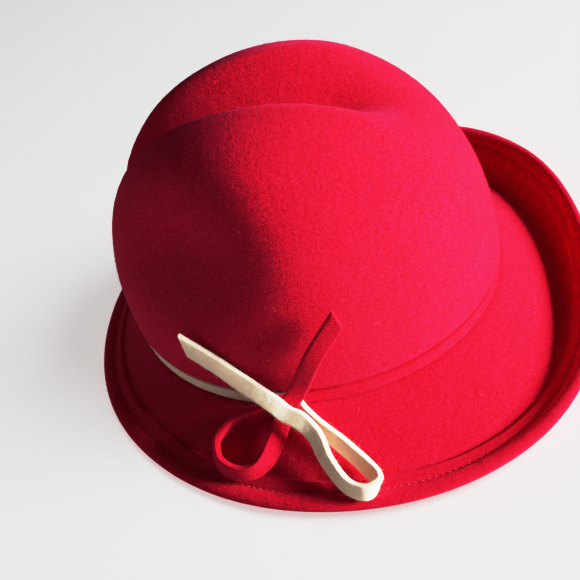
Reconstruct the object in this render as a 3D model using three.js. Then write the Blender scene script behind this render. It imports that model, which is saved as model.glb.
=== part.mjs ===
// Felt fedora: a creased crown, a brim turned up behind, and a two-coloured band and bow of felt strips.
// Millimetres, +Z up. The wearer faces -Y, and the bow is on the wearer's left, at +X.
import * as THREE from 'three';
import { mergeVertices } from 'three/addons/utils/BufferGeometryUtils.js';

// Felt wall and the clearance between sewn pieces
const feltThickness = 2.4;
const seamGap = 0.3;

// Head oval, measured outside the crown where it stands proud of the band
const headHalfWidth = 88.5;
const headHalfLength = 101;
const headForward = 8.5;            // head oval's centre in front of the middle of the hat
const seatHeight = 19.3;            // top of the brim where the crown is sewn on

// Crown block: a rounded oval dome, higher behind, that is drawn in under the band
const crownHeight = 129.5;
const crownRiseBehind = 11;
const crownRoundness = 2.67;        // superellipse exponent of the dome's profile
const crownSwell = 0.04;
const crownTaper = 0.12;
const crownLean = -7.5;             // the top sits this far forward of the base
const crownLeanGrowth = 1.5;
const waistDepth = 4.4;
const waistTop = 8.2;
const waistBlend = 3.5;

// Crease along the top, open over the front and fading out behind
const creaseDepth = 28;
const creaseHalfWidth = 24.5;
const creaseWiden = 8;
const creaseFadeStart = 20;
const creaseFadeLength = 70;
const creaseLevels = [0.35, 0.85];    // share of the crown's height where the crease starts and is whole
const frontNotchDepth = 10;
const notchLevels = [0.3, 0.8];
const notchReach = [0.55, 0.95];      // share of the head's half length where the notch starts and is whole

// Pinches beside the crease: angle from the front, share of the crown's height, and spread
const pinches = [
  { angle: 58, level: 0.62, spreadAngle: 28, spreadLevel: 0.22, depth: 14 },
  { angle: -58, level: 0.62, spreadAngle: 28, spreadLevel: 0.22, depth: 14 },
];
const pinchFade = 0.2;              // share of the height over which the pinches run out on top

// Brim sections round the head from the front: slope to a low line, then the part past it, with its
// length and its angle above level. The far side behind is turned up more than the bow's side
const brimSections = [
  { angle: 0, reach: 20, low: 0, turn: 7.5, lift: 0 },
  { angle: 45, reach: 27, low: 0.6, turn: 8, lift: -4 },
  { angle: 90, reach: 37, low: 2.4, turn: 10, lift: 10 },
  { angle: 135, reach: 43.5, low: 2, turn: 14, lift: 25 },
  { angle: 180, reach: 31, low: 0, turn: 21, lift: 52 },
  { angle: 225, reach: 35.5, low: 0.8, turn: 25.5, lift: 46 },
  { angle: 270, reach: 33.5, low: 2, turn: 16, lift: 24 },
  { angle: 315, reach: 27, low: 0.6, turn: 8, lift: -4 },
];
const brimBend = 7;
const brimBendShare = 0.45;         // most of the slope that the bend may take
const seatOut = 0.5;                // the slope starts this far outside the head oval
const footPress = 0.6;              // felt flattened where the brim rests
const hemWidth = 6.5;
const hemRise = 1.5;
const hemSlant = 0.45;              // slope of the hem's inner face
const hemMargin = 0.5;              // plain felt between the bend and the hem

// Felt strips of the band and the bow. The band stands on edge in the crown's waist
const stripWidth = 8.5;
const stripThickness = 3;
const bandWidth = 7.2;
const bandLift = 0.5;               // lower edge of the band above the seam
const bandClearance = 0.6;
const bandJoinGap = 0.5;
const bowAngle = 90;
const farJoinAngle = -90;

// Bow strips from the knot round the loop and over the knot to the tail. A row's place is along to the back,
// out from the head oval and up from the seam, and its edges lean to the back and tuck in to the head
const creamBow = [
  { along: 1, out: 2.6, up: 5.2, lean: 0, tuck: 0 },
  { along: 4.5, out: 8, up: 3.4, lean: 16, tuck: 0 },
  { along: 11.5, out: 15, up: 1, lean: 32, tuck: 4 },
  { along: 20.5, out: 22, up: -2, lean: 40, tuck: 8 },
  { along: 31, out: 30.5, up: -7.5, lean: 38, tuck: 8 },
  { along: 36.5, out: 39, up: -7.5, lean: 28, tuck: 14 },
  { along: 31.5, out: 44.5, up: -6.5, lean: 12, tuck: 18 },
  { along: 22.5, out: 40.5, up: -6.5, lean: 22, tuck: 8 },
  { along: 14, out: 30, up: -2.5, lean: 42, tuck: -4 },
  { along: 9, out: 20.5, up: 4.5, lean: 48, tuck: 4 },
  { along: 2.5, out: 15.5, up: 10, lean: 40, tuck: 28 },
  { along: -3.5, out: 13, up: 12, lean: 40, tuck: 32 },
  { along: -9.5, out: 9.5, up: 16.5, lean: 40, tuck: 30 },
  { along: -24.5, out: 1.5, up: 25, lean: 40, tuck: 20 },
  { along: -34, out: -3, up: 32, lean: 42, tuck: 12 },
  { along: -48, out: -9, up: 41, lean: 44, tuck: 6 },
];
const redBow = [
  { along: -3.5, out: 2.2, up: 7.5, lean: 0, tuck: 0 },
  { along: -10, out: 3.5, up: 8, lean: 0, tuck: 0 },
  { along: -18, out: 7, up: 7, lean: 2, tuck: -4 },
  { along: -27, out: 7.5, up: 4.5, lean: -2, tuck: -10 },
  { along: -35, out: 10.5, up: 1.5, lean: 14, tuck: -6 },
  { along: -41, out: 16.5, up: -2.5, lean: 24, tuck: -4 },
  { along: -40, out: 24.5, up: -6.5, lean: 22, tuck: 0 },
  { along: -32, out: 30.5, up: -7.5, lean: 16, tuck: 10 },
  { along: -22, out: 31, up: -6.5, lean: 0, tuck: 10 },
  { along: -15, out: 26.5, up: -3.5, lean: -36, tuck: 4 },
  { along: -11, out: 19.5, up: -0.5, lean: -58, tuck: 4 },
  { along: -8, out: 13, up: 3.5, lean: -62, tuck: 6 },
  { along: -3, out: 7.5, up: 11, lean: -62, tuck: 8 },
  { along: 4.5, out: 5, up: 21.5, lean: -62, tuck: 8 },
  { along: 15, out: 3.5, up: 40.5, lean: -56, tuck: 6 },
  { along: 29, out: -1, up: 58.5, lean: -50, tuck: 6 },
];
const creamTipSkew = 9;             // slant of each tail's cut end
const redTipSkew = 6;
const tipLength = 0.2;              // share of the strip that the slant is drawn over

// Facets
const facetsAround = 64;
const frontCrowding = 0.4;          // facets are finer round the creased front of the crown
const crownRings = 17;
const firstDomeRing = 2;                       // rings below this one are the waist's
const waistHeights = [0, 8.1, 9.9, 12.2];      // rings at the waist, level all round
const bendSteps = 4;
const slopeShares = [0, 0.33, 0.67];           // points on the brim's slope
const floorRounds = 4;                         // rounds that settle the brim's low line on the floor
const bandSteps = 36;
const bowSteps = 44;
const sameSpot = 1e-4;                         // corners nearer than this are one
const slopeStep = 0.004;                       // step that the crown's slope is measured over

const degrees = THREE.MathUtils.degToRad;
const ease = (value) => THREE.MathUtils.smoothstep(value, 0, 1);
const easeBetween = (value, [low, high]) => THREE.MathUtils.smoothstep(value, low, high);

// Closed solid through rings of points; around joins the last ring to the first, else the ends are capped
function loft(rings, around) {
  const corners = [];
  const triangle = (a, b, c) => {
    if (Math.min(a.distanceTo(b), b.distanceTo(c), c.distanceTo(a)) > sameSpot) corners.push(a, b, c);
  };
  const spans = around ? rings.length : rings.length - 1;
  for (let i = 0; i < spans; i += 1) {
    const ring = rings[i];
    const next = rings[(i + 1) % rings.length];
    ring.forEach((point, j) => {
      const k = (j + 1) % ring.length;
      triangle(point, ring[k], next[k]);
      triangle(point, next[k], next[j]);
    });
  }
  if (!around) {
    const last = rings[rings.length - 1];
    for (let j = 1; j + 1 < last.length; j += 1) {
      triangle(rings[0][0], rings[0][j + 1], rings[0][j]);
      triangle(last[0], last[j], last[j + 1]);
    }
  }
  let volume = 0;
  for (let i = 0; i < corners.length; i += 3) {
    volume += corners[i].dot(new THREE.Vector3().crossVectors(corners[i + 1], corners[i + 2]));
  }
  if (volume < 0) corners.reverse();
  const geometry = mergeVertices(new THREE.BufferGeometry().setFromPoints(corners));
  geometry.computeVertexNormals();
  return geometry;
}

// Head oval, and its outward direction, at an angle from the front
function ovalPoint(angle, inset) {
  const outward = ovalOutward(angle);
  return new THREE.Vector2(headHalfWidth * Math.sin(angle), -headHalfLength * Math.cos(angle))
    .addScaledVector(outward, -inset);
}

function ovalOutward(angle) {
  return new THREE.Vector2(headHalfLength * Math.sin(angle), -headHalfWidth * Math.cos(angle)).normalize();
}

// Outer face of the crown at an angle from the front; climb runs from 0 at the seam to 1 on top
function crownFace(angle, climb) {
  const bearing = climb * Math.PI / 2;
  const reach = (Math.cos(bearing) ** crownRoundness + Math.sin(bearing) ** crownRoundness)
    ** (-1 / crownRoundness);
  const across = climb < 1 ? reach * Math.cos(bearing) : 0;
  const level = reach * Math.sin(bearing);
  const size = across * (1 + crownSwell * Math.sin(Math.PI * level)) * (1 - crownTaper * level);
  const outward = ovalOutward(angle);
  let x = headHalfWidth * size * Math.sin(angle);
  let y = -headHalfLength * size * Math.cos(angle) + crownLean * level ** crownLeanGrowth;
  let z = (crownHeight + crownRiseBehind * y / headHalfLength) * level;

  const waist = waistDepth * (1 - ease((z - waistTop) / waistBlend));
  x -= waist * outward.x;
  y -= waist * outward.y;

  const creaseWidth = creaseHalfWidth + creaseWiden * y / headHalfLength;
  const fold = 0.5 * (1 + Math.cos(Math.PI * Math.min(Math.abs(x) / creaseWidth, 1)));
  const fade = 1 - ease((y - creaseFadeStart) / creaseFadeLength);
  z -= creaseDepth * fold * fade * easeBetween(level, creaseLevels);
  const notchShare = easeBetween(level, notchLevels) * easeBetween(-y / headHalfLength, notchReach);
  y += frontNotchDepth * fold * notchShare;

  for (const pinch of pinches) {
    const middle = degrees(pinch.angle);
    const aside = Math.atan2(Math.sin(angle - middle), Math.cos(angle - middle)) / degrees(pinch.spreadAngle);
    const rounding = Math.exp(-(aside ** 2) - ((level - pinch.level) / pinch.spreadLevel) ** 2);
    const press = pinch.depth * rounding * ease((1 - level) / pinchFade);
    x -= press * Math.sin(middle);
    y += press * Math.cos(middle);
  }
  return new THREE.Vector3(x, y, z + seatHeight + seamGap);
}

// Inner face of the crown, one felt thickness in
function crownLining(angle, climb) {
  const point = crownFace(angle, climb);
  if (climb >= 1) return point.setZ(point.z - feltThickness);
  const along = crownFace(angle + slopeStep, climb).sub(crownFace(angle - slopeStep, climb));
  const above = Math.min(climb + slopeStep, 1 - sameSpot);
  const up = crownFace(angle, above).sub(crownFace(angle, Math.max(climb - slopeStep, 0)));
  if (climb === 0) up.set(0, 0, 1);
  return point.addScaledVector(along.cross(up).normalize(), -feltThickness);
}

function crownGeometry() {
  const rings = [];
  for (let i = 0; i < facetsAround; i += 1) {
    const even = 2 * Math.PI * i / facetsAround;
    const angle = even - frontCrowding * Math.sin(even);
    const localHeight = crownHeight - crownRiseBehind * Math.cos(angle);
    const climbs = waistHeights.map((height) => height / localHeight * 2 / Math.PI);
    for (let ring = firstDomeRing; ring <= crownRings; ring += 1) climbs.push(ring / crownRings);
    const outer = climbs.map((climb) => crownFace(angle, climb));
    const inner = climbs.map((climb) => crownLining(angle, climb));
    rings.push([...outer, ...inner.reverse()]);
  }
  return loft(rings, true);
}

// Value of a brim column at an angle, on a smooth closed curve through the sections
function brimValue(column, angle) {
  const count = brimSections.length;
  const place = THREE.MathUtils.euclideanModulo(angle / (2 * Math.PI), 1) * count;
  const first = Math.floor(place);
  const share = place - first;
  const [a, b, c, d] = [-1, 0, 1, 2].map((step) => brimSections[(first + step + count) % count][column]);
  return b + 0.5 * share * (c - a + share * (2 * a - 5 * b + 4 * c - d + share * (3 * (b - c) + d - a)));
}

// Upper line of the brim at an angle, as distance out from the oval and height
function brimLine(angle, cornerHeight) {
  const lift = degrees(brimValue('lift', angle));
  const turn = brimValue('turn', angle);
  const seat = new THREE.Vector2(seatOut, seatHeight);
  const corner = new THREE.Vector2(brimValue('reach', angle), cornerHeight);
  const edge = new THREE.Vector2(Math.cos(lift), Math.sin(lift)).multiplyScalar(turn).add(corner);
  const bendIn = corner.clone().lerp(seat, Math.min(brimBend / corner.distanceTo(seat), brimBendShare));
  const bendOut = corner.clone().lerp(edge, Math.min(brimBend / turn, 1 - (hemWidth + hemMargin) / turn));
  const hem = edge.clone().lerp(corner, hemWidth / turn);
  const bend = new THREE.QuadraticBezierCurve(bendIn, corner, bendOut).getPoints(bendSteps);
  const slope = slopeShares.map((share) => seat.clone().lerp(bendIn, share));
  return [new THREE.Vector2(-feltThickness - waistDepth, seatHeight), ...slope, ...bend, hem, edge];
}

// Closed outline of the brim's felt at an angle, flattened where it would pass the floor
function brimOutline(angle) {
  const low = brimValue('low', angle) - footPress;
  let cornerHeight = low;
  let upper = [];
  let under = [];
  for (let round = 0; round < floorRounds; round += 1) {
    upper = brimLine(angle, cornerHeight);
    under = upper.map((point, i) => {
      const before = upper[Math.max(i - 1, 0)];
      const after = upper[Math.min(i + 1, upper.length - 1)];
      const run = after.clone().sub(before).normalize();
      return new THREE.Vector2(point.x + feltThickness * run.y, point.y - feltThickness * run.x);
    });
    cornerHeight += low - Math.min(...under.map((point) => point.y));
  }
  under[0].set(upper[0].x, seatHeight - feltThickness);
  under.forEach((point) => point.setY(Math.max(point.y, 0)));

  const [hem, edge] = upper.slice(-2);
  const run = edge.clone().sub(hem).normalize();
  const rise = new THREE.Vector2(-run.y, run.x);
  const crest = [hem, edge].map((point) => point.clone().addScaledVector(rise, hemRise));
  const nose = edge.clone().addScaledVector(run, 0.5 * feltThickness)
    .addScaledVector(rise, 0.5 * (hemRise - feltThickness));
  crest[0].addScaledVector(run, hemSlant);
  return [...upper.slice(0, -1), ...crest, nose, ...under.reverse()];
}

function brimGeometry() {
  const rings = [];
  for (let i = 0; i < facetsAround; i += 1) {
    const angle = 2 * Math.PI * i / facetsAround;
    const outward = ovalOutward(angle);
    rings.push(brimOutline(angle).map((point) => {
      const spot = ovalPoint(angle, 0).addScaledVector(outward, point.x);
      return new THREE.Vector3(spot.x, spot.y, point.y);
    }));
  }
  return loft(rings, true);
}

// Section of a strip, with its width along one edge direction and its thickness across
function stripSection(middle, widthway, thickway, width) {
  return [[1, 1], [-1, 1], [-1, -1], [1, -1]].map(([w, t]) => middle.clone()
    .addScaledVector(widthway, w * width / 2)
    .addScaledVector(thickway, t * stripThickness / 2));
}

// Band strip standing round the crown's waist between two angles
function bandGeometry(fromAngle, toAngle) {
  const inset = waistDepth - bandClearance - stripThickness / 2;
  const height = seatHeight + seamGap + bandLift + bandWidth / 2;
  const rings = [];
  for (let i = 0; i <= bandSteps; i += 1) {
    const angle = degrees(THREE.MathUtils.lerp(fromAngle, toAngle, i / bandSteps));
    const spot = ovalPoint(angle, inset);
    const outward = ovalOutward(angle);
    rings.push(stripSection(new THREE.Vector3(spot.x, spot.y, height), new THREE.Vector3(0, 0, 1),
      new THREE.Vector3(outward.x, outward.y, 0), bandWidth));
  }
  return loft(rings, false);
}

// Bow strip through a table's rows, its tail cut at a slant
function bowGeometry(rows, tipSkew) {
  const knot = ovalPoint(degrees(bowAngle), 0);
  const route = new THREE.CatmullRomCurve3(rows.map((row) => new THREE.Vector3(
    knot.x + row.out, knot.y + row.along, seatHeight + seamGap + row.up)));
  const edges = new THREE.CatmullRomCurve3(rows.map((row) => new THREE.Vector3(
    -Math.sin(degrees(row.tuck)), Math.sin(degrees(row.lean)),
    Math.cos(degrees(row.lean)) * Math.cos(degrees(row.tuck)))));
  const rings = [];
  for (let i = 0; i <= bowSteps; i += 1) {
    const share = i / bowSteps;
    const run = route.getTangent(share);
    const widthway = edges.getPoint(share);
    widthway.addScaledVector(run, -widthway.dot(run)).normalize();
    const thickway = new THREE.Vector3().crossVectors(run, widthway);
    const slant = tipSkew / 2 * ease((share - 1 + tipLength) / tipLength);
    rings.push(stripSection(route.getPoint(share), widthway, thickway, stripWidth).map((corner, j) => (
      corner.addScaledVector(run, j === 0 || j === 3 ? slant : -slant))));
  }
  return loft(rings, false);
}

const creamFelt = new THREE.MeshStandardMaterial({ color: 0xf0e4cc, roughness: 0.95, metalness: 0 });
const redFelt = new THREE.MeshStandardMaterial({ color: 0xc8102e, roughness: 0.95, metalness: 0 });

const hat = new THREE.Group();
hat.position.y = -headForward;
function addPiece(name, geometry, material) {
  const piece = new THREE.Mesh(geometry, material);
  piece.name = name;
  hat.add(piece);
}
addPiece('crown', crownGeometry(), redFelt);
addPiece('brim', brimGeometry(), redFelt);
const bandGapAngle = THREE.MathUtils.radToDeg(bandJoinGap / 2 / headHalfLength);
addPiece('cream_band', bandGeometry(farJoinAngle + bandGapAngle, bowAngle - bandGapAngle), creamFelt);
addPiece('red_band', bandGeometry(bowAngle + bandGapAngle, farJoinAngle + 360 - bandGapAngle), redFelt);
addPiece('cream_bow', bowGeometry(creamBow, creamTipSkew), creamFelt);
addPiece('red_bow', bowGeometry(redBow, redTipSkew), redFelt);

export default hat;
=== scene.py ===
import math
import bmesh
import bpy
import numpy as np
from mathutils import Matrix, Vector, noise


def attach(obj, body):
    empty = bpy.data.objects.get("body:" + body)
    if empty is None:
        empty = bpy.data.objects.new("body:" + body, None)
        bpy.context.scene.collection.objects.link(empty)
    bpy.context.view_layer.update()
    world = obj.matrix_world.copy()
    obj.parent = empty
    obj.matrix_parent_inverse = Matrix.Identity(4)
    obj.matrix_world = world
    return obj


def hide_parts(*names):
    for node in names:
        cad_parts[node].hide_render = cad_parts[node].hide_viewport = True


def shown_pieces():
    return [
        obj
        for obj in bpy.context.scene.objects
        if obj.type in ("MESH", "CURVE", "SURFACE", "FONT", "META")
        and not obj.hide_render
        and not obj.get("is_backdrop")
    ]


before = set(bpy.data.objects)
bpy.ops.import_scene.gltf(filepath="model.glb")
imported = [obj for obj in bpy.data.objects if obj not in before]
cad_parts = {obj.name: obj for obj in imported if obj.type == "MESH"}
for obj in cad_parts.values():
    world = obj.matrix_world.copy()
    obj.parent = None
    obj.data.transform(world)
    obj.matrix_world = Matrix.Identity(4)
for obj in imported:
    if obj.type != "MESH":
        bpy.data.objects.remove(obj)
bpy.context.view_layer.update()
scene = bpy.context.scene
mm = 0.001
print("frame loaded", sorted(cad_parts))

# sizes in millimetres, measured from the middle of the head oval, z from the table
headOval = {"halfWidth": 88.5, "halfLength": 101, "forward": 8.5, "seat": 19.3, "seam": 0.3, "felt": 2.4}


def ease(value):
    value = min(max(value, 0.0), 1.0)
    return value * value * (3 - 2 * value)


def easeIn(value, stretch):  # eases from 0 to 1 over a stretch given by its start and length
    return ease((value - stretch[0]) / stretch[1])


def toHat(x, y, z):
    return Vector((x, y - headOval["forward"], z)) * mm


def ovalOutward(angle):
    return Vector((headOval["halfLength"] * math.sin(angle), -headOval["halfWidth"] * math.cos(angle))).normalized()


def ovalPoint(angle, out):
    spot = Vector((headOval["halfWidth"] * math.sin(angle), -headOval["halfLength"] * math.cos(angle)))
    return spot + ovalOutward(angle) * out


def betweenRows(rows, first, t, rowAt):  # smooth curve through four neighbouring rows of numbers
    a, b, c, d = (np.array(rows[rowAt(first + k)], float) for k in (-1, 0, 1, 2))
    return b + 0.5 * t * (c - a + t * (2 * a - 5 * b + 4 * c - d + t * (3 * (b - c) + d - a)))


def throughRows(rows, share):  # open curve
    last = len(rows) - 1
    place = min(max(share, 0.0), 1.0) * last
    first = min(int(place), last - 1)
    return betweenRows(rows, first, place - first, lambda row: min(max(row, 0), last))


def wrapGrid(aroundSteps, alongSteps, placeAt):  # a flat grid laid on a shape, its seams merged
    bm = bmesh.new()
    bmesh.ops.create_grid(bm, x_segments=aroundSteps, y_segments=alongSteps, size=0.5)
    for vert in bm.verts:
        vert.co = placeAt(vert.co.x + 0.5, vert.co.y + 0.5)
    bmesh.ops.remove_doubles(bm, verts=bm.verts, dist=1e-6)
    bmesh.ops.recalc_face_normals(bm, faces=bm.faces)
    return bm


def finishPiece(bm, name, material, node=None):
    mesh = bpy.data.meshes.new(name)
    bm.to_mesh(mesh)
    bm.free()
    mesh.polygons.foreach_set("use_smooth", [True] * len(mesh.polygons))
    mesh.materials.append(material)
    piece = bpy.data.objects.new(name, mesh)
    scene.collection.objects.link(piece)
    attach(piece, "root")
    if node:
        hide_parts(node)
    print(name, len(mesh.polygons), "faces")
    return piece


# felt finish shared by every material: clumped fibres, soft mottling and the height for the bump
feltSpec = {
    "nap": (3, 0.62, 1.6),  # detail, roughness, distortion
    "tufts": (260, 2, 0.5, 0.8),  # the same after the scale
    "clouds": (38, 2, 0.5, 0.3),  # uneven dye and brushing
    "napRange": (0.44, 0.64), "napShare": 0.8, "tuftShare": 0.26, "cloudShare": 0.18,
    "roughGain": 0.16, "roughBase": 0.84, "tuftHeight": 0.9,
    "bumpDepth": 0.0007, "specular": 0.12, "sheenRoughness": 0.42,
}


def makeFeltGroup():
    group = bpy.data.node_groups.new("feltNap", "ShaderNodeTree")
    for name, kind in (("Deep", "NodeSocketColor"), ("Fleece", "NodeSocketColor"), ("Nap Scale", "NodeSocketFloat"),
                       ("Fleece Share", "NodeSocketFloat")):
        group.interface.new_socket(name, in_out="INPUT", socket_type=kind)
    for name, kind in (("Color", "NodeSocketColor"), ("Roughness", "NodeSocketFloat"), ("Height", "NodeSocketFloat")):
        group.interface.new_socket(name, in_out="OUTPUT", socket_type=kind)
    nodes, links = group.nodes, group.links
    entry, leave = nodes.new("NodeGroupInput"), nodes.new("NodeGroupOutput")
    coords = nodes.new("ShaderNodeTexCoord")

    def feed(socket, value):  # a number or another node's output
        if isinstance(value, (int, float)):
            socket.default_value = value
        else:
            links.new(value, socket)

    def noiseNode(scale, detail, roughness, distortion):
        node = nodes.new("ShaderNodeTexNoise")
        links.new(coords.outputs["Object"], node.inputs["Vector"])
        feed(node.inputs["Scale"], scale)
        node.inputs["Detail"].default_value = detail
        node.inputs["Roughness"].default_value = roughness
        node.inputs["Distortion"].default_value = distortion
        return node

    def mathNode(operation, first, second):
        node = nodes.new("ShaderNodeMath")
        node.operation = operation
        for socket, value in zip(node.inputs, (first, second)):
            feed(socket, value)
        return node.outputs[0]

    nap = noiseNode(entry.outputs["Nap Scale"], *feltSpec["nap"])  # fibre clumps of about a millimetre
    tufts = noiseNode(*feltSpec["tufts"])
    clouds = noiseNode(*feltSpec["clouds"])
    spread = nodes.new("ShaderNodeMapRange")
    spread.inputs["From Min"].default_value, spread.inputs["From Max"].default_value = feltSpec["napRange"]
    links.new(nap.outputs["Fac"], spread.inputs["Value"])
    mixed = mathNode("MULTIPLY", spread.outputs["Result"], feltSpec["napShare"])
    mixed = mathNode("ADD", mixed, mathNode("MULTIPLY", tufts.outputs["Fac"], feltSpec["tuftShare"]))
    mixed = mathNode("ADD", mixed, mathNode("MULTIPLY", clouds.outputs["Fac"], feltSpec["cloudShare"]))
    share = mathNode("MULTIPLY", mixed, entry.outputs["Fleece Share"])
    tone = nodes.new("ShaderNodeMix")
    tone.data_type = "RGBA"
    links.new(share, tone.inputs["Factor"])
    links.new(entry.outputs["Deep"], tone.inputs["A"])
    links.new(entry.outputs["Fleece"], tone.inputs["B"])
    links.new(tone.outputs["Result"], leave.inputs["Color"])
    rough = mathNode("ADD", mathNode("MULTIPLY", nap.outputs["Fac"], feltSpec["roughGain"]), feltSpec["roughBase"])
    links.new(rough, leave.inputs["Roughness"])
    tuftHeight = mathNode("MULTIPLY", tufts.outputs["Fac"], feltSpec["tuftHeight"])
    links.new(mathNode("ADD", nap.outputs["Fac"], tuftHeight), leave.inputs["Height"])
    return group


feltGroup = makeFeltGroup()


def makeFelt(name, deep, fleece, napScale, fleeceShare, sheen, sheenTint, bump):
    material = bpy.data.materials.new(name)
    material.use_nodes = True
    nodes, links = material.node_tree.nodes, material.node_tree.links
    shader = nodes["Principled BSDF"]
    felt = nodes.new("ShaderNodeGroup")
    felt.node_tree = feltGroup
    felt.inputs["Deep"].default_value = (*deep, 1)
    felt.inputs["Fleece"].default_value = (*fleece, 1)
    felt.inputs["Nap Scale"].default_value = napScale
    felt.inputs["Fleece Share"].default_value = fleeceShare
    rise = nodes.new("ShaderNodeBump")
    rise.inputs["Strength"].default_value = bump
    rise.inputs["Distance"].default_value = feltSpec["bumpDepth"]
    links.new(felt.outputs["Height"], rise.inputs["Height"])
    links.new(rise.outputs["Normal"], shader.inputs["Normal"])
    links.new(felt.outputs["Color"], shader.inputs["Base Color"])
    links.new(felt.outputs["Roughness"], shader.inputs["Roughness"])
    shader.inputs["Specular IOR Level"].default_value = feltSpec["specular"]
    shader.inputs["Sheen Weight"].default_value = sheen
    shader.inputs["Sheen Roughness"].default_value = feltSpec["sheenRoughness"]
    shader.inputs["Sheen Tint"].default_value = (*sheenTint, 1)
    return material


# deep colour, fleece colour, nap scale, share of fleece, sheen, sheen tint, bump
redFelt = makeFelt("redFelt", (0.5, 0.0006, 0.004), (0.85, 0.024, 0.125),
                   1150, 0.8, 0.3, (1.0, 0.12, 0.5), 0.7)
redStripFelt = makeFelt("redStripFelt", (0.52, 0.0006, 0.004), (0.85, 0.022, 0.115),
                        1300, 0.75, 0.3, (1.0, 0.12, 0.5), 0.7)
creamFelt = makeFelt("creamFelt", (0.94, 0.74, 0.55), (1.0, 0.9, 0.76),
                     1200, 0.8, 0.25, (1.0, 0.9, 0.76), 0.5)
redFibre = makeFelt("redFibre", (0.6, 0.003, 0.016), (0.85, 0.06, 0.14),
                    400, 0.7, 0.3, (1.0, 0.2, 0.45), 0.1)
creamFibre = makeFelt("creamFibre", (0.8, 0.7, 0.55), (0.95, 0.9, 0.8),
                      400, 0.8, 0.25, (1.0, 0.95, 0.85), 0.1)
paleFibre = makeFelt("paleFibre", (0.8, 0.3, 0.32), (0.92, 0.62, 0.6),
                     400, 0.9, 0.3, (1.0, 0.7, 0.7), 0.1)
hemThread = makeFelt("hemThread", (0.62, 0.03, 0.06), (0.9, 0.2, 0.28),
                     2400, 0.6, 0.3, (1.0, 0.4, 0.6), 0.3)
print("felt finishes made")

# crown: an oval dome with a front to back crease and a pinch on each side of the front
crownSpec = {
    "height": 129.5, "riseBehind": 11, "roundness": 2.67, "swell": 0.04, "taper": 0.12, "lean": -7.5,
    "leanGrowth": 1.5, "waistDepth": 4.4, "waistTop": 8.2, "waistBlend": 3.5,
    "creaseDepth": 28, "creaseHalfWidth": 24.5, "creaseWiden": 8, "creaseFade": (20, 70), "creaseLevels": (0.35, 0.5),
    "notch": 10, "notchLevels": (0.3, 0.5), "notchReach": (0.55, 0.4),  # where each starts, and over how far
    "pinches": ((58, 0.62, 28, 0.22, 14), (-58, 0.62, 28, 0.22, 14)),  # angle, level, their spreads, depth
    "pinchFade": 0.2,
    "wave": 0.45, "waveSize": 34, "waveLevels": (0.15, 0.2), "waveUp": 0.6,
    "aroundSteps": 240, "upSteps": 110, "waistClimb": 0.1, "waistShare": 0.14,
}


def crownPoint(angle, climb):
    s = crownSpec
    bearing = climb * math.pi / 2
    n = s["roundness"]
    reach = (abs(math.cos(bearing)) ** n + math.sin(bearing) ** n) ** (-1 / n)
    across = reach * math.cos(bearing) if climb < 1 else 0
    level = reach * math.sin(bearing)
    size = across * (1 + s["swell"] * math.sin(math.pi * level)) * (1 - s["taper"] * level)
    outward = ovalOutward(angle)
    length = headOval["halfLength"]
    x = headOval["halfWidth"] * size * math.sin(angle)
    y = -length * size * math.cos(angle) + s["lean"] * level ** s["leanGrowth"]
    z = (s["height"] + s["riseBehind"] * y / length) * level
    waist = s["waistDepth"] * (1 - ease((z - s["waistTop"]) / s["waistBlend"]))
    x -= waist * outward.x
    y -= waist * outward.y
    width = s["creaseHalfWidth"] + s["creaseWiden"] * y / length
    fold = 0.5 * (1 + math.cos(math.pi * min(abs(x) / width, 1)))
    z -= s["creaseDepth"] * fold * (1 - easeIn(y, s["creaseFade"])) * easeIn(level, s["creaseLevels"])
    y += s["notch"] * fold * easeIn(level, s["notchLevels"]) * easeIn(-y / length, s["notchReach"])
    for middle, height, spreadAngle, spreadLevel, depth in s["pinches"]:
        turn = angle - math.radians(middle)
        aside = math.atan2(math.sin(turn), math.cos(turn)) / math.radians(spreadAngle)
        rounding = math.exp(-aside ** 2 - ((level - height) / spreadLevel) ** 2)
        press = depth * rounding * ease((1 - level) / s["pinchFade"])
        x -= press * math.sin(math.radians(middle))
        y += press * math.cos(math.radians(middle))
    spot = Vector((x, y, z + headOval["seat"] + headOval["seam"]))
    sway = s["wave"] * noise.noise(spot / s["waveSize"]) * easeIn(level, s["waveLevels"])  # blocked by hand
    return toHat(spot.x + sway * outward.x, spot.y + sway * outward.y, spot.z + s["waveUp"] * sway)


def crownClimb(share):  # rings crowd in at the waist and over the top
    waistClimb, waistShare = crownSpec["waistClimb"], crownSpec["waistShare"]
    if share < waistShare:
        return waistClimb * share / waistShare
    return waistClimb + (1 - waistClimb) * (share - waistShare) / (1 - waistShare)


def buildCrown():
    skin = wrapGrid(crownSpec["aroundSteps"], crownSpec["upSteps"],
                    lambda u, v: crownPoint(2 * math.pi * u, crownClimb(v)))
    if max(skin.faces, key=lambda face: face.calc_center_median().z).normal.z < 0:
        bmesh.ops.reverse_faces(skin, faces=skin.faces)
    return skin


crownSkin = buildCrown()
crownSource = crownSkin.copy()
crown = finishPiece(crownSkin, "crownFelt", redFelt, "crown")
wall = crown.modifiers.new("feltWall", "SOLIDIFY")
wall.thickness = headOval["felt"] * mm
wall.offset = -1
wall.use_even_offset = False

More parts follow.
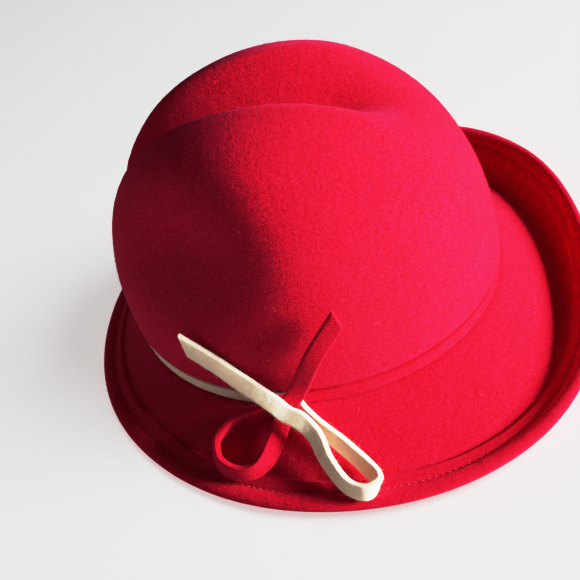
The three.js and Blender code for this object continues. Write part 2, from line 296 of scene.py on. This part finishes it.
# brim: slopes to a low line, then turns up towards the back, with a wide hem folded over its edge
brimSpec = {
    "rows": (  # angle from the front: reach, low, turn, lift
        (20, 0, 7.5, 0), (27, 0.6, 8, -4), (37, 2.4, 10, 10), (43.5, 2, 14, 25),
        (31, 0, 21, 52), (35.5, 0.8, 25.5, 46), (33.5, 2, 16, 24), (27, 0.6, 8, -4)),
    "seatOut": 0.5, "bend": 6, "bendMost": 0.45, "press": 0.6, "hemWidth": 14.5, "smoothing": 0.8,
    "openSteps": 26, "bendSteps": 12, "underSteps": 32, "floorRounds": 4,
    "hem": (  # distance out from the fold's cut edge, height above the brim
        (0.05, 0), (0.1, 0.7), (0.4, 1.3), (0.9, 1.65), (1.8, 1.75), (3.6, 1.75), (5.2, 1.7), (6.1, 1.45), (6.7, 1.1),
        (7.3, 1.1), (7.9, 1.45), (8.8, 1.8), (10.2, 2.0), (11.6, 1.95), (12.8, 1.7), (13.8, 1.3), (14.6, 0.8),
        (15.2, 0.15), (15.5, -0.5), (15.2, -1.3), (14.7, -1.9), (14.2, -2.3)),
    "wave": 0.5, "waveSize": 40, "waveSlice": 3.0, "waveStretch": (8, 10), "footFade": 8, "aroundSteps": 360,
}


def brimValues(angle):  # reach, low, turn and lift on a smooth closed curve
    rows = brimSpec["rows"]
    place = (angle / (2 * math.pi)) % 1 * len(rows)
    first = int(place)
    return betweenRows(rows, first, place - first, lambda row: row % len(rows))


def pathPoint(path, distance):  # carries straight on past either end
    for start, end in zip(path[:-2], path[1:-1]):
        length = (end - start).length
        if distance <= length:
            return start.lerp(end, distance / length)
        distance -= length
    return path[-2] + (path[-1] - path[-2]).normalized() * distance


def offPath(path, distance, height):
    smoothing = brimSpec["smoothing"]
    way = (pathPoint(path, distance + smoothing) - pathPoint(path, distance - smoothing)).normalized()
    return pathPoint(path, distance) + Vector((-way.y, way.x)) * height


def brimSection(angle):  # closed outline of the felt, and the upper line it is laid on
    reach, low, turn, lift = brimValues(angle)
    lift = math.radians(lift)
    run = Vector((math.cos(lift), math.sin(lift)))
    inner = Vector((-headOval["felt"] - crownSpec["waistDepth"], headOval["seat"]))
    seat = Vector((brimSpec["seatOut"], headOval["seat"]))
    bend, most, bendSteps, underSteps = (brimSpec[key] for key in ("bend", "bendMost", "bendSteps", "underSteps"))
    floorLine = low - brimSpec["press"]
    cornerHeight = floorLine
    for settling in range(brimSpec["floorRounds"]):  # brings the lowest felt to the floor line
        corner = Vector((reach, cornerHeight))
        edge = corner + run * turn
        bendIn = corner.lerp(seat, min(bend / (corner - seat).length, most))
        bendOut = corner.lerp(edge, min(bend / turn, most))
        path = [inner, seat]
        for i in range(bendSteps + 1):
            t = i / bendSteps
            path.append(bendIn * (1 - t) ** 2 + corner * (2 * t * (1 - t)) + bendOut * t ** 2)
        path.append(edge)
        length = sum((end - start).length for start, end in zip(path, path[1:]))
        under = [offPath(path, length * (1 - i / underSteps), -headOval["felt"]) for i in range(underSteps + 1)]
        cornerHeight += floorLine - min(point.y for point in under)
    hemStart = length - brimSpec["hemWidth"]
    openFelt = [pathPoint(path, hemStart * i / brimSpec["openSteps"]) for i in range(brimSpec["openSteps"])]
    fold = [offPath(path, hemStart + out, up) for out, up in brimSpec["hem"]]
    outline = [Vector((point.x, max(point.y, 0.0))) for point in openFelt + fold + under]
    return outline, path, hemStart


def brimWave(spot, out):  # slight unevenness that leaves the seat and the resting edge alone
    sample = Vector((spot.x, spot.y, brimSpec["waveSlice"])) / brimSpec["waveSize"]
    return brimSpec["wave"] * noise.noise(sample) * easeIn(out, brimSpec["waveStretch"])


def brimPlace(angle, point):
    spot = ovalPoint(angle, point.x)
    return toHat(spot.x, spot.y, point.y + brimWave(spot, point.x) * ease(point.y / brimSpec["footFade"]))


brimSteps = brimSpec["aroundSteps"]
brimAngles = [2 * math.pi * i / brimSteps for i in range(brimSteps)]
brimSections = [brimSection(angle) for angle in brimAngles]


def buildBrim():
    count = len(brimSections[0][0])

    def placeAt(u, v):
        i = round(u * brimSteps) % brimSteps
        return brimPlace(brimAngles[i], brimSections[i][0][round(v * count) % count])
    return wrapGrid(brimSteps, count, placeAt)


brimMesh = buildBrim()
brimSource = brimMesh.copy()
finishPiece(brimMesh, "brimFelt", redFelt, "brim")

# hem stitches: a thread that dips in and out along the groove of the fold
stitchSpec = {"pitch": 3.2, "length": 1.7, "thick": 0.3, "out": 7.0, "up": 1.2, "arch": 0.15, "lean": 0.06,
              "leanTurn": 2.7, "segments": (6, 5)}


def buildStitches():
    bm = bmesh.new()
    line = []
    for angle, section in zip(brimAngles, brimSections):
        path, hemStart = section[1:]
        spot = offPath(path, hemStart + stitchSpec["out"], stitchSpec["up"])
        rise = (offPath(path, hemStart + stitchSpec["out"], stitchSpec["up"] + 1) - spot).normalized()
        line.append((brimPlace(angle, spot), Vector((*(ovalOutward(angle) * rise.x), rise.y))))
    lengths = [(line[(i + 1) % brimSteps][0] - line[i][0]).length for i in range(brimSteps)]
    total = sum(lengths)
    count = round(total / (stitchSpec["pitch"] * mm))
    travelled, i = 0.0, 0
    for k in range(count):
        while travelled + lengths[i] < total * k / count:
            travelled += lengths[i]
            i += 1
        start, up = line[i]
        end = line[(i + 1) % brimSteps][0]
        spot = start.lerp(end, (total * k / count - travelled) / lengths[i])
        along = (end - start).normalized()
        side = up.cross(along).normalized()
        around, rings = stitchSpec["segments"]
        made = bmesh.ops.create_uvsphere(bm, u_segments=around, v_segments=rings, radius=1)
        lean = stitchSpec["lean"] * math.sin(stitchSpec["leanTurn"] * k)
        for vert in made["verts"]:
            x, y, z = vert.co
            ahead = along * (z * stitchSpec["length"] / 2)
            aside = side * (x * stitchSpec["thick"] + lean * z)
            rise = up * (y * stitchSpec["thick"] - stitchSpec["arch"] * z * z)
            vert.co = spot + (ahead + aside + rise) * mm
    bmesh.ops.recalc_face_normals(bm, faces=bm.faces)
    return bm


finishPiece(buildStitches(), "hemStitches", hemThread)

# felt strips: a rounded flat section swept along a route
stripSpec = {"width": 8.5, "thick": 3, "corner": 0.75, "crown": 0.12, "edgeWaver": 0.16, "waverSize": 4.5,
             "seedStep": 9, "sectionSteps": 48}


def stripSection(v, width):  # place round the section in millimetres
    halfWidth, halfThick, corner = width / 2, stripSpec["thick"] / 2, stripSpec["corner"]
    longSide, shortSide, arc = 2 * (halfWidth - corner), 2 * (halfThick - corner), math.pi / 2 * corner
    travel = (v % 1) * 2 * (longSide + shortSide + 2 * arc)
    for turn, length in enumerate((longSide, shortSide, longSide, shortSide)):
        flip = 1 if turn < 2 else -1
        if travel <= length:
            step = travel - length / 2
            if turn % 2 == 0:
                bulge = stripSpec["crown"] * (1 - (step / halfWidth) ** 2)
                return flip * step, -flip * (halfThick + bulge)
            return flip * halfWidth, flip * step
        travel -= length
        if travel <= arc:
            swing = travel / corner
            inX, inY = halfWidth - corner, halfThick - corner
            if turn % 2 == 0:
                return flip * (inX + corner * math.sin(swing)), -flip * (inY + corner * math.cos(swing))
            return flip * (inX + corner * math.cos(swing)), flip * (inY + corner * math.sin(swing))
        travel -= arc
    return -halfWidth + corner, -halfThick


def buildStrip(stationAt, width, steps, seed):
    def placeAt(u, v):
        middle, widthway, thickway, run, slant = stationAt(u)
        w, t = stripSection(v, width)
        sample = Vector((middle.x, middle.y, middle.z + stripSpec["seedStep"] * seed)) / stripSpec["waverSize"]
        w += stripSpec["edgeWaver"] * noise.noise(sample) * w / (width / 2)
        spot = middle + widthway * w + thickway * t + run * (slant * 2 * w / width)
        return toHat(*spot)
    bm = wrapGrid(steps, stripSpec["sectionSteps"], placeAt)
    rim = [edge for edge in bm.edges if edge.is_boundary]
    bmesh.ops.holes_fill(bm, edges=rim, sides=0)
    for edge in rim:
        edge.smooth = False
    bmesh.ops.recalc_face_normals(bm, faces=bm.faces)
    return bm


bandSpec = {"width": 7.2, "lift": 0.5, "clearance": 0.6, "joinGap": 0.5, "bowAngle": 90, "farAngle": -90,
            "steps": 220, "sag": 0.25, "sagRadius": 3, "sagSlice": 0.4}


def bandStation(fromAngle, toAngle):
    inset = crownSpec["waistDepth"] - bandSpec["clearance"] - stripSpec["thick"] / 2
    height = headOval["seat"] + headOval["seam"] + bandSpec["lift"] + bandSpec["width"] / 2

    def stationAt(u):
        angle = math.radians(fromAngle + (toAngle - fromAngle) * u)
        outward = ovalOutward(angle)
        spot = ovalPoint(angle, -inset)
        radius = bandSpec["sagRadius"]
        sample = Vector((radius * math.sin(angle), radius * math.cos(angle), bandSpec["sagSlice"]))
        sway = bandSpec["sag"] * noise.noise(sample)
        return (Vector((spot.x, spot.y, height + sway)), Vector((0, 0, 1)), Vector((outward.x, outward.y, 0)),
                Vector((-outward.y, outward.x, 0)), 0.0)
    return stationAt


joinAngle = math.degrees(bandSpec["joinGap"] / 2 / headOval["halfLength"])
creamRoute = bandStation(bandSpec["farAngle"] + joinAngle, bandSpec["bowAngle"] - joinAngle)
redRoute = bandStation(bandSpec["bowAngle"] + joinAngle, bandSpec["farAngle"] + 360 - joinAngle)
creamBandMesh = buildStrip(creamRoute, bandSpec["width"], bandSpec["steps"], 1)
redBandMesh = buildStrip(redRoute, bandSpec["width"], bandSpec["steps"], 2)
creamSources, redSources = [creamBandMesh.copy()], [redBandMesh.copy()]
finishPiece(creamBandMesh, "creamBand", creamFelt, "cream_band")
finishPiece(redBandMesh, "redBand", redStripFelt, "red_band")

# bow: rows run from the knot round the loop and over the knot to the tail: along, out, up, lean, tuck
creamBowSpec = {"tipSkew": 9, "tipShare": 0.2, "steps": 200, "rows": (
    (1, 2.6, 5.2, 0, 0), (4.5, 8, 3.4, 16, 0), (11.5, 15, 1, 32, 4), (20.5, 22, -2, 40, 8),
    (31, 30.5, -7.5, 38, 8), (36.5, 39, -7.5, 28, 14), (31.5, 44.5, -6.5, 12, 18),
    (22.5, 40.5, -6.5, 22, 8), (14, 30, -2.5, 42, -4), (9, 20.5, 4.5, 48, 4), (2.5, 15.5, 10, 40, 28),
    (-3.5, 13, 12, 40, 32), (-9.5, 9.5, 16.5, 40, 30), (-24.5, 1.5, 25, 40, 20), (-34, -3, 32, 42, 12),
    (-48, -9, 41, 44, 6))}
redBowSpec = {"tipSkew": 6, "tipShare": 0.2, "steps": 200, "rows": (
    (-3.5, 2.2, 7.5, 0, 0), (-10, 3.5, 8, 0, 0), (-18, 7, 7, 2, -4), (-27, 7.5, 4.5, -2, -10),
    (-35, 10.5, 1.5, 14, -6), (-41, 16.5, -2.5, 24, -4), (-40, 24.5, -6.5, 22, 0),
    (-32, 30.5, -7.5, 16, 10), (-22, 31, -6.5, 0, 10), (-15, 26.5, -3.5, -36, 4), (-11, 19.5, -0.5, -58, 4),
    (-8, 13, 3.5, -62, 6), (-3, 7.5, 11, -62, 8), (4.5, 5, 21.5, -62, 8), (15, 3.5, 40.5, -56, 6),
    (29, -1, 58.5, -50, 6))}


def bowStation(spec):
    slopeStep = 0.002  # share of the strip that its run is measured over, each way
    knot = ovalPoint(math.radians(bandSpec["bowAngle"]), 0)
    base = headOval["seat"] + headOval["seam"]
    places = [(knot.x + out, knot.y + along, base + up) for along, out, up, lean, tuck in spec["rows"]]
    edges = []
    for along, out, up, lean, tuck in spec["rows"]:
        lean, tuck = math.radians(lean), math.radians(tuck)
        edges.append((-math.sin(tuck), math.sin(lean), math.cos(lean) * math.cos(tuck)))

    def stationAt(u):
        middle = Vector(throughRows(places, u))
        ahead, behind = throughRows(places, min(u + slopeStep, 1)), throughRows(places, max(u - slopeStep, 0))
        run = Vector(ahead - behind).normalized()
        widthway = Vector(throughRows(edges, u))
        widthway = (widthway - run * widthway.dot(run)).normalized()
        slant = spec["tipSkew"] / 2 * ease((u - 1 + spec["tipShare"]) / spec["tipShare"])
        return middle, widthway, run.cross(widthway), run, slant
    return stationAt


creamBowMesh = buildStrip(bowStation(creamBowSpec), stripSpec["width"], creamBowSpec["steps"], 3)
redBowMesh = buildStrip(bowStation(redBowSpec), stripSpec["width"], redBowSpec["steps"], 4)
creamSources.append(creamBowMesh.copy())
redSources.append(redBowMesh.copy())
finishPiece(creamBowMesh, "creamBow", creamFelt, "cream_bow")
finishPiece(redBowMesh, "redBow", redStripFelt, "red_bow")

# fuzz: short fibres that lie over the felt, each a thin three sided spike bent once
fuzzSpec = {"crown": 14000, "brim": 13000, "cream": 5000, "red": 5000, "length": (0.9, 2.6), "radius": (0.022, 0.042),
            "lift": (0.12, 0.55), "aside": (-0.5, 0.5), "root": 0.1, "tipLift": 0.75, "seed": 7,
            "middle": (0.5, 0.8, 0.3)}  # along, lifted and aside, as shares of the length
looseSpec = {"crown": 70, "brim": 45, "red": 10, "length": (1.5, 5.0), "radius": 0.026, "bends": 7, "curl": 0.6,
             "steady": 0.5, "wander": 0.45, "arch": 0.35, "root": 0.2, "seed": 11}
fibreSpec = {"tip": 0.3, "floor": 0.05, "steep": 0.9, "outerBrim": -0.3}


def skinArrays(sources, keep=None):  # corners and normals of the skin's triangles
    corners, normals = [], []
    for source in sources:
        source.normal_update()
        bmesh.ops.triangulate(source, faces=source.faces)
        for face in source.faces:
            if keep is None or keep(face):
                corners.append([vert.co[:] for vert in face.verts])
                normals.append([vert.normal[:] for vert in face.verts])
        source.free()
    return np.array(corners), np.array(normals)


def skinPoints(skin, count, rng):  # even random points on the skin, with their normals
    corners, normals = skin
    areas = np.linalg.norm(np.cross(corners[:, 1] - corners[:, 0], corners[:, 2] - corners[:, 0]), axis=1)
    chosen = rng.choice(len(areas), count, p=areas / areas.sum())
    a, b = rng.random(count), rng.random(count)
    flip = a + b > 1
    a[flip], b[flip] = 1 - a[flip], 1 - b[flip]
    weights = np.stack([1 - a - b, a, b], 1)[:, :, None]
    spots = (corners[chosen] * weights).sum(1)
    ways = (normals[chosen] * weights).sum(1)
    return spots, ways / np.linalg.norm(ways, axis=1, keepdims=True)


def fibreTemplate(bends):  # one fibre along z from 0 to 1
    bm = bmesh.new()
    bmesh.ops.create_cone(bm, cap_ends=True, segments=3, radius1=1, radius2=fibreSpec["tip"], depth=1)
    lengthwise = [edge for edge in bm.edges if abs(edge.verts[0].co.z - edge.verts[1].co.z) > 0.5]
    bmesh.ops.subdivide_edges(bm, edges=lengthwise, cuts=bends, use_grid_fill=True)
    bmesh.ops.recalc_face_normals(bm, faces=bm.faces)
    bm.verts.index_update()
    verts = np.array([vert.co[:] for vert in bm.verts]) + (0, 0, 0.5)
    faces = [[vert.index for vert in face.verts] for face in bm.faces]
    bm.free()
    return verts, faces


def joinFibres(name, template, middles, radius, material):  # middles: fibre, point along it, place
    verts, faces = template
    levels = np.round(verts[:, 2] * (middles.shape[1] - 1)).astype(int)
    runs = np.gradient(middles, axis=1)
    runs /= np.linalg.norm(runs, axis=2, keepdims=True)
    helper = np.where(np.abs(runs[..., 2:3]) < fibreSpec["steep"], (0, 0, 1.0), (1.0, 0, 0))
    sideA = np.cross(runs, helper)
    sideA /= np.linalg.norm(sideA, axis=2, keepdims=True)
    sideB = np.cross(runs, sideA)
    places = middles[:, levels] + radius[:, None, None] * (
        sideA[:, levels] * verts[None, :, 0:1] + sideB[:, levels] * verts[None, :, 1:2])
    places[..., 2] = np.maximum(places[..., 2], fibreSpec["floor"] * mm)  # none goes through the table
    count, size = len(middles), len(verts)
    allFaces = [[k * size + i for i in face] for k in range(count) for face in faces]
    mesh = bpy.data.meshes.new(name)
    mesh.from_pydata(places.reshape(-1, 3).tolist(), [], allFaces)
    mesh.polygons.foreach_set("use_smooth", [True] * len(mesh.polygons))
    mesh.materials.append(material)
    piece = bpy.data.objects.new(name, mesh)
    scene.collection.objects.link(piece)
    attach(piece, "root")
    print(name, count, "fibres,", len(allFaces), "faces")
    return piece


def layAlong(ways, rng):  # random directions in the skin
    lay = rng.normal(size=ways.shape)
    lay -= ways * (lay * ways).sum(1, keepdims=True)
    return lay / np.linalg.norm(lay, axis=1, keepdims=True)


def growFuzz(name, skin, count, material, seed):
    rng = np.random.default_rng(seed)
    spots, ways = skinPoints(skin, count, rng)
    lay = layAlong(ways, rng)
    length = rng.uniform(*fuzzSpec["length"], count)[:, None] * mm
    lift = rng.uniform(*fuzzSpec["lift"], count)[:, None]
    turnAside = np.cross(ways, lay) * rng.uniform(*fuzzSpec["aside"], count)[:, None]
    midAlong, midLift, midAside = fuzzSpec["middle"]
    start = spots - ways * fuzzSpec["root"] * mm
    middle = spots + (lay * midAlong + ways * lift * midLift + turnAside * midAside) * length
    tip = spots + (lay + ways * lift * fuzzSpec["tipLift"] + turnAside) * length
    middles = np.stack([start, middle, tip], 1)
    return joinFibres(name, fibreTemplate(1), middles, rng.uniform(*fuzzSpec["radius"], count) * mm, material)


def growLoose(name, skin, count, material, seed):  # single pale wool fibres that curl over the nap
    rng = np.random.default_rng(seed)
    spots, ways = skinPoints(skin, count, rng)
    lay = layAlong(ways, rng)
    aside = np.cross(ways, lay)
    points = looseSpec["bends"] + 2
    step = rng.uniform(*looseSpec["length"], count)[:, None] * mm / (points - 1)
    heading = np.zeros((count, 1))
    bend = rng.normal(0, looseSpec["curl"], (count, 1))
    middles = [spots + ways * looseSpec["root"] * mm]
    for k in range(points - 1):
        heading = heading + bend * looseSpec["steady"]
        heading += rng.normal(0, looseSpec["curl"] * looseSpec["wander"], (count, 1))
        rise = ways * (looseSpec["arch"] * math.cos(math.pi * k / (points - 2)))
        middles.append(middles[-1] + (lay * np.cos(heading) + aside * np.sin(heading) + rise) * step)
    radius = np.full(count, looseSpec["radius"] * mm)
    return joinFibres(name, fibreTemplate(looseSpec["bends"]), np.stack(middles, 1), radius, material)


def outerBrim(face):
    return face.normal.z > fibreSpec["outerBrim"]


crownSkinArrays = skinArrays([crownSource])
brimSkinArrays = skinArrays([brimSource], outerBrim)
redSkinArrays = skinArrays(redSources)
growFuzz("crownFuzz", crownSkinArrays, fuzzSpec["crown"], redFibre, fuzzSpec["seed"])
growFuzz("brimFuzz", brimSkinArrays, fuzzSpec["brim"], redFibre, fuzzSpec["seed"] + 1)
growFuzz("creamFuzz", skinArrays(creamSources), fuzzSpec["cream"], creamFibre, fuzzSpec["seed"] + 2)
growFuzz("redFuzz", redSkinArrays, fuzzSpec["red"], redFibre, fuzzSpec["seed"] + 3)
growLoose("crownLooseFibres", crownSkinArrays, looseSpec["crown"], paleFibre, looseSpec["seed"])
growLoose("brimLooseFibres", brimSkinArrays, looseSpec["brim"], paleFibre, looseSpec["seed"] + 1)
growLoose("redLooseFibres", redSkinArrays, looseSpec["red"], paleFibre, looseSpec["seed"] + 2)

# floor, light and camera
stageSpec = {"floorSize": 14.0, "floorTone": (0.83, 0.825, 0.82), "floorRoughness": 0.7, "floorSpecular": 0.2,
             "world": 0.085, "worldTone": (1.0, 0.985, 0.97), "target": (0, 0, 0.05)}
lights = {  # azimuth, elevation, distance, size, power, what it lights, whether the hat shades it
    "windowLight": (173, 17, 1.5, 0.42, 60.0, "hat", True),
    "leftFill": (15, 8, 1.6, 1.0, 3.0, "hat", True),
    "tableLight": (185, 42, 1.8, 0.9, 20.0, "floor", True),
    "tableFill": (100, 75, 2.0, 1.6, 26.0, "floor", False),
}
floorMesh = bmesh.new()
bmesh.ops.create_grid(floorMesh, x_segments=1, y_segments=1, size=stageSpec["floorSize"] / 2)
floorData = bpy.data.meshes.new("floor")
floorMesh.to_mesh(floorData)
floorMesh.free()
floor = bpy.data.objects.new("floor", floorData)
scene.collection.objects.link(floor)
floor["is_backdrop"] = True
floorPaint = bpy.data.materials.new("floorPaint")
floorPaint.use_nodes = True
floorShader = floorPaint.node_tree.nodes["Principled BSDF"]
floorShader.inputs["Base Color"].default_value = (*stageSpec["floorTone"], 1)
floorShader.inputs["Roughness"].default_value = stageSpec["floorRoughness"]
floorShader.inputs["Specular IOR Level"].default_value = stageSpec["floorSpecular"]
floorData.materials.append(floorPaint)

studio = bpy.data.worlds.new("studio")
studio.use_nodes = True
sky = studio.node_tree.nodes["Background"]
sky.inputs["Color"].default_value = (*stageSpec["worldTone"], 1)
sky.inputs["Strength"].default_value = stageSpec["world"]
scene.world = studio


def lookFrom(azimuth, elevation):
    a, e = math.radians(azimuth), math.radians(elevation)
    return Vector((math.sin(a) * math.cos(e), -math.cos(a) * math.cos(e), math.sin(e)))


lit = {"hat": bpy.data.collections.new("hatPieces"), "floor": bpy.data.collections.new("floorPieces")}
lit["floor"].objects.link(floor)
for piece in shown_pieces():
    lit["hat"].objects.link(piece)
for name, (azimuth, elevation, distance, size, power, receiver, shaded) in lights.items():
    way = lookFrom(azimuth, elevation)
    lamp = bpy.data.lights.new(name, "AREA")
    lamp.shape = "SQUARE"
    lamp.size = size
    lamp.energy = power
    lampObject = bpy.data.objects.new(name, lamp)
    spot = Vector(stageSpec["target"]) + way * distance
    lampObject.matrix_world = Matrix.Translation(spot) @ way.to_track_quat("Z", "Y").to_matrix().to_4x4()
    scene.collection.objects.link(lampObject)
    lampObject.light_linking.receiver_collection = lit[receiver]
    if not shaded:
        lampObject.light_linking.blocker_collection = lit["floor"]

cameraSpec = {"target": (23.1, -17.0, 32.8), "azimuth": 108.57, "elevation": 44.25, "roll": -18.8, "distance": 443.15,
              "focalPixels": 841.9, "framePixels": 580, "sensor": 36, "nearest": 0.01}
toneSpec = {"whitest": (4.0, 0.98), "points": (  # scene light, picture light
    (0.1, 0.06), (0.2, 0.145), (0.32, 0.29), (0.45, 0.53), (0.6, 0.72), (0.9, 0.87), (1.5, 0.935))}
back = lookFrom(cameraSpec["azimuth"], cameraSpec["elevation"])
right = (-back).cross(Vector((0, 0, 1))).normalized()
up = right.cross(-back)
roll = math.radians(cameraSpec["roll"])
rightRolled = right * math.cos(roll) + up * math.sin(roll)
upRolled = up * math.cos(roll) - right * math.sin(roll)
eye = (Vector(cameraSpec["target"]) + back * cameraSpec["distance"]) * mm
camera = bpy.data.objects.new("camera", bpy.data.cameras.new("camera"))
camera.data.sensor_width = cameraSpec["sensor"]
camera.data.lens = cameraSpec["focalPixels"] / cameraSpec["framePixels"] * cameraSpec["sensor"]
camera.data.clip_start = cameraSpec["nearest"]
camera.matrix_world = Matrix.Translation(eye) @ Matrix((rightRolled, upRolled, back)).transposed().to_4x4()
scene.collection.objects.link(camera)
scene.camera = camera
scene.view_settings.view_transform = "Standard"
scene.view_settings.use_curve_mapping = True  # a camera's soft shoulder and firm shadows
tone = scene.view_settings.curve_mapping
tone.clip_max_x = toneSpec["whitest"][0]
tone.clip_max_y = 1.0
allChannels = tone.curves[3]
allChannels.points[1].location = toneSpec["whitest"]
for x, y in toneSpec["points"]:
    allChannels.points.new(x, y)
tone.update()
print("stage, light and camera set")
